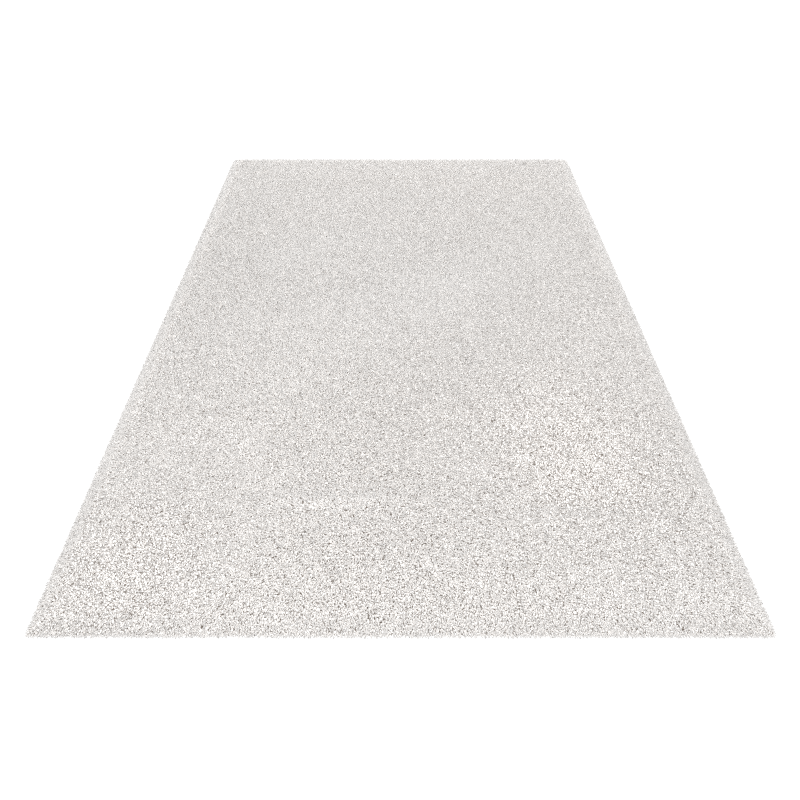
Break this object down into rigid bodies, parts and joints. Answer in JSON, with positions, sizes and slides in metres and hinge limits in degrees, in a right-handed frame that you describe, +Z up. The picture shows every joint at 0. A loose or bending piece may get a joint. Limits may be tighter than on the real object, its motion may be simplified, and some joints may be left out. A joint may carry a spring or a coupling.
{
  "type": "shag rug",
  "caption": "Rectangular off-white shag rug lying flat, with a lumpy pile of twisted yarn, a rolled-off edge and locks of yarn that fall over it to the floor.",
  "frame": {"origin": "on the floor under the middle of the rug", "axes": "+X across the rug's width, +Y along its length, +Z up from the floor"},
  "size_m": [1.6, 2.3, 0.033],
  "materials": {
    "yarn": "matt off-white twisted pile yarn, a little darker between the tufts"
  },
  "bodies": {
    "root": {"shag_rug": "yarn"}
  },
  "joints": []
}
